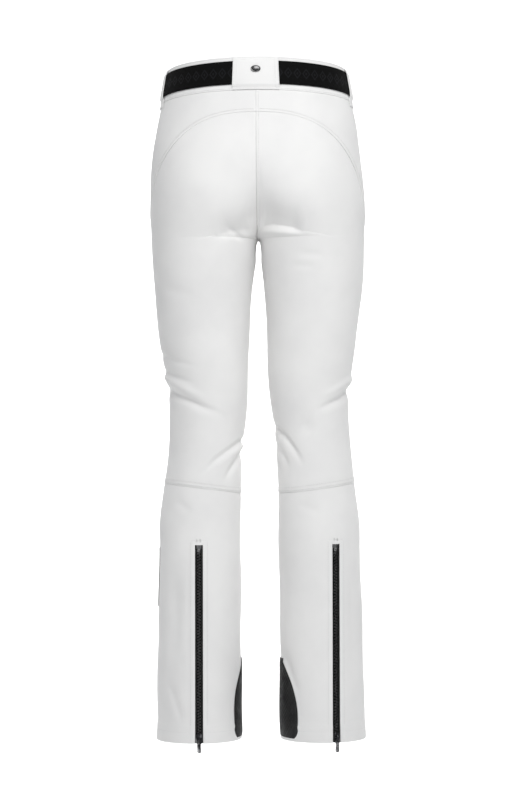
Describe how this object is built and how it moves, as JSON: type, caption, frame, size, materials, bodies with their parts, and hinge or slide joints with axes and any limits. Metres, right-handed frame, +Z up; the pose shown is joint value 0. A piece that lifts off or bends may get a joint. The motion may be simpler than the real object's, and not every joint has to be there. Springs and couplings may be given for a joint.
{
  "type": "ski pants",
  "caption": "Slim soft-shell ski pants in their worn shape, with a buckled webbing belt, zipped leg ends, hand pockets, kick patches and inner snow gaiters.",
  "frame": {"origin": "middle of the waist opening, level with the waistband's top edge at the centre back", "axes": "+Z up along the legs, the front faces -Y, +X towards the wearer's left"},
  "size_m": [0.334, 0.2313, 1.062],
  "materials": {
    "shell_fabric": "matt white four-way stretch soft shell with a fine plain weave",
    "webbing": "black woven elastic webbing with a plain tonal motif",
    "zip_tape": "black woven zip tape",
    "zip_teeth": "black moulded acetal teeth",
    "zip_coil": "black nylon coil",
    "zip_metal": "dark gunmetal plating, worn bright at the edges",
    "buckle_metal": "satin gunmetal",
    "kick_patch": "matt black coated fabric with a raised grid",
    "lining": "light grey nylon taffeta",
    "black_print": "smooth black"
  },
  "bodies": {
    "root": {"fly_zip_coil": "zip_coil", "left_leg_zip_teeth_outer": "zip_teeth", "left_leg_zip_teeth_inner": "zip_teeth", "left_pocket_zip_coil": "zip_coil", "left_back_panel": "shell_fabric", "left_back_yoke": "shell_fabric", "left_shin_panel": "shell_fabric", "left_front_panel": "shell_fabric", "left_calf_panel": "shell_fabric", "left_leg_zip_tape_outer": "zip_tape", "left_leg_zip_tape_inner": "zip_tape", "left_leg_zip_guard": "lining", "left_pocket_zip_tape": "zip_tape", "left_pocket_bag": "lining", "left_kick_patch": "kick_patch", "left_snow_gaiter": "lining", "left_gaiter_elastic": "webbing", "left_side_loop": "shell_fabric", "right_leg_zip_teeth_outer": "zip_teeth", "right_leg_zip_teeth_inner": "zip_teeth", "right_pocket_zip_coil": "zip_coil", "right_back_panel": "shell_fabric", "right_back_yoke": "shell_fabric", "right_shin_panel": "shell_fabric", "right_front_panel": "shell_fabric", "right_calf_panel": "shell_fabric", "right_leg_zip_tape_outer": "zip_tape", "right_leg_zip_tape_inner": "zip_tape", "right_leg_zip_guard": "lining", "right_pocket_zip_tape": "zip_tape", "right_pocket_bag": "lining", "right_kick_patch": "kick_patch", "right_snow_gaiter": "lining", "right_gaiter_elastic": "webbing", "right_side_loop": "shell_fabric", "left_front_loop": "shell_fabric", "right_front_loop": "shell_fabric", "fly_zip_tape": "zip_tape", "fly_guard": "lining", "waist_snap_socket": "buckle_metal", "waist_snap_stud": "buckle_metal", "waistband": "shell_fabric", "belt_tunnel": "shell_fabric", "belt_strap": "webbing", "buckle_body": "buckle_metal", "buckle_pin": "buckle_metal", "back_stud": "black_print", "left_shin_strip": "black_print"},
    "left_leg_zip_slider": {"left_leg_zip_slider": "zip_metal"},
    "left_leg_zip_pull": {"left_leg_zip_pull": "zip_metal"},
    "right_leg_zip_slider": {"right_leg_zip_slider": "zip_metal"},
    "right_leg_zip_pull": {"right_leg_zip_pull": "zip_metal"},
    "left_pocket_zip_slider": {"left_pocket_zip_slider": "zip_metal"},
    "left_pocket_zip_pull": {"left_pocket_zip_pull": "zip_metal"},
    "right_pocket_zip_slider": {"right_pocket_zip_slider": "zip_metal"},
    "right_pocket_zip_pull": {"right_pocket_zip_pull": "zip_metal"},
    "fly_zip_slider": {"fly_zip_slider": "zip_metal"},
    "fly_zip_pull": {"fly_zip_pull": "zip_metal"},
    "buckle_lever": {"buckle_lever": "buckle_metal"}
  },
  "joints": [
    {"name": "left_leg_zip_slide", "type": "slide", "parent": "root", "child": "left_leg_zip_slider", "axis": [-0.0049, -0.0272, 0.9996], "range_m": [0, 0.27], "deforming": ["left_leg_zip_teeth_outer", "left_leg_zip_teeth_inner"]},
    {"name": "left_leg_zip_pull_swing", "type": "hinge", "parent": "left_leg_zip_slider", "child": "left_leg_zip_pull", "pos_m": [0.0939, 0.08548, -1.03993], "axis": [0.9998, 0.0207, 0.0055], "range_deg": [0, 170]},
    {"name": "right_leg_zip_slide", "type": "slide", "parent": "root", "child": "right_leg_zip_slider", "axis": [-0.0049, -0.0338, 0.9994], "range_m": [0, 0.27], "deforming": ["right_leg_zip_teeth_outer", "right_leg_zip_teeth_inner"]},
    {"name": "right_leg_zip_pull_swing", "type": "hinge", "parent": "right_leg_zip_slider", "child": "right_leg_zip_pull", "pos_m": [-0.11705, 0.08198, -1.03992], "axis": [0.9304, 0.3662, 0.017], "range_deg": [0, 170]},
    {"name": "left_pocket_zip_slide", "type": "slide", "parent": "root", "child": "left_pocket_zip_slider", "axis": [0.2309, 0.0014, -0.973], "range_m": [0, 0.098], "deforming": ["left_pocket_zip_coil"]},
    {"name": "left_pocket_zip_pull_swing", "type": "hinge", "parent": "left_pocket_zip_slider", "child": "left_pocket_zip_pull", "pos_m": [0.09658, -0.0763, -0.08356], "axis": [-0.8296, -0.5222, -0.1976], "range_deg": [0, 150]},
    {"name": "right_pocket_zip_slide", "type": "slide", "parent": "root", "child": "right_pocket_zip_slider", "axis": [-0.2309, 0.0014, -0.973], "range_m": [0, 0.098], "deforming": ["right_pocket_zip_coil"]},
    {"name": "right_pocket_zip_pull_swing", "type": "hinge", "parent": "right_pocket_zip_slider", "child": "right_pocket_zip_pull", "pos_m": [-0.09658, -0.0763, -0.08356], "axis": [-0.8296, 0.5222, 0.1976], "range_deg": [0, 150]},
    {"name": "fly_zip_slide", "type": "slide", "parent": "root", "child": "fly_zip_slider", "axis": [0, -0.0288, -0.9996], "range_m": [0, 0.1], "deforming": ["fly_zip_coil"]},
    {"name": "fly_zip_pull_swing", "type": "hinge", "parent": "fly_zip_slider", "child": "fly_zip_pull", "pos_m": [0, -0.09839, -0.08893], "axis": [-1, 0, 0], "range_deg": [0, 135]},
    {"name": "buckle_lever_swing", "type": "hinge", "parent": "root", "child": "buckle_lever", "pos_m": [0.006, -0.10377, -0.05175], "axis": [0, 0.0288, 0.9996], "range_deg": [0, 80]}
  ]
}
